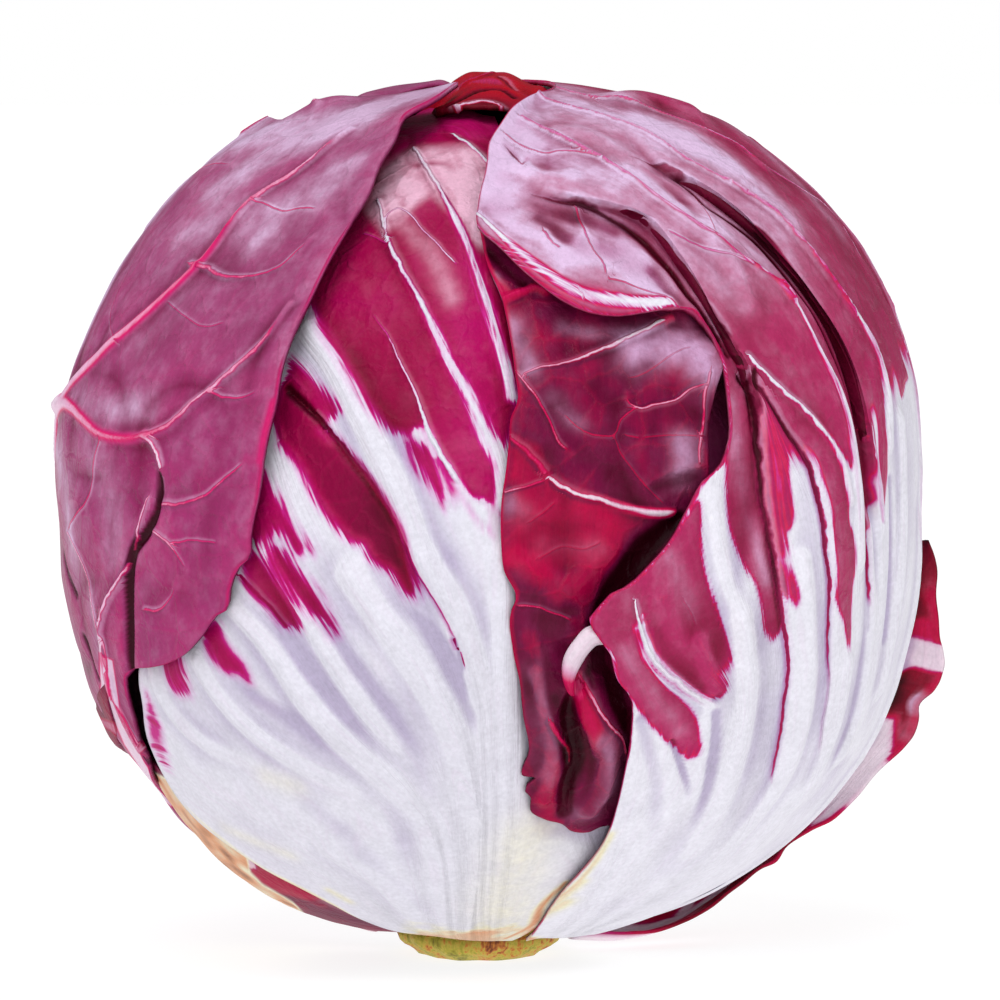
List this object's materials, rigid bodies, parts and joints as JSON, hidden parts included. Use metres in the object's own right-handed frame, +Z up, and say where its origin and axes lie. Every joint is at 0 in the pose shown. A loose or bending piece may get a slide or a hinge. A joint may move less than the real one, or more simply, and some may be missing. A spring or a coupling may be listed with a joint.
{
  "type": "radicchio head",
  "caption": "Round head of red radicchio: thin ribbed leaves, wine-red above and white at the base, wrapped on a short cut stem.",
  "frame": {"origin": "centre of the stem's flat cut face, on the surface the head stands on", "axes": "+Z up through the head from the cut stem to the crown, -Y the front where the leaf margins meet, +X to the right of it"},
  "size_m": [0.1238, 0.1163, 0.1208],
  "materials": {
    "mauve_leaf": "waxy matt leaf, mauve with pink veins",
    "ribbed_leaf": "satin leaf, magenta blade fraying into white ribs",
    "wine_leaf": "glossy crumpled leaf, dark wine with pink veins",
    "crimson_leaf": "satin leaf, crimson above and white at the base",
    "withered_leaf": "torn leaf, dark red with a brown dried margin",
    "inner_leaf": "moist pale leaf with a thick white midrib",
    "heart": "tight pale bud leaves",
    "cut_stem": "cut stem, browned and slightly dry"
  },
  "bodies": {
    "root": {"stem_core": "cut_stem", "left_leaf": "mauve_leaf", "right_leaf": "ribbed_leaf", "crumpled_leaf": "wine_leaf", "front_leaf": "crimson_leaf", "back_right_leaf": "ribbed_leaf", "back_left_leaf": "mauve_leaf", "torn_right_leaf": "crimson_leaf", "torn_left_leaf": "withered_leaf", "inner_leaf_01": "inner_leaf", "inner_leaf_02": "inner_leaf", "inner_leaf_03": "inner_leaf", "inner_leaf_04": "inner_leaf", "inner_leaf_05": "inner_leaf", "inner_leaf_06": "inner_leaf", "inner_leaf_07": "inner_leaf", "inner_leaf_08": "inner_leaf", "inner_leaf_09": "inner_leaf", "inner_leaf_10": "inner_leaf", "inner_leaf_11": "inner_leaf", "inner_leaf_12": "inner_leaf", "heart_leaf_01": "heart", "heart_leaf_02": "heart", "heart_bud": "heart"}
  },
  "joints": []
}
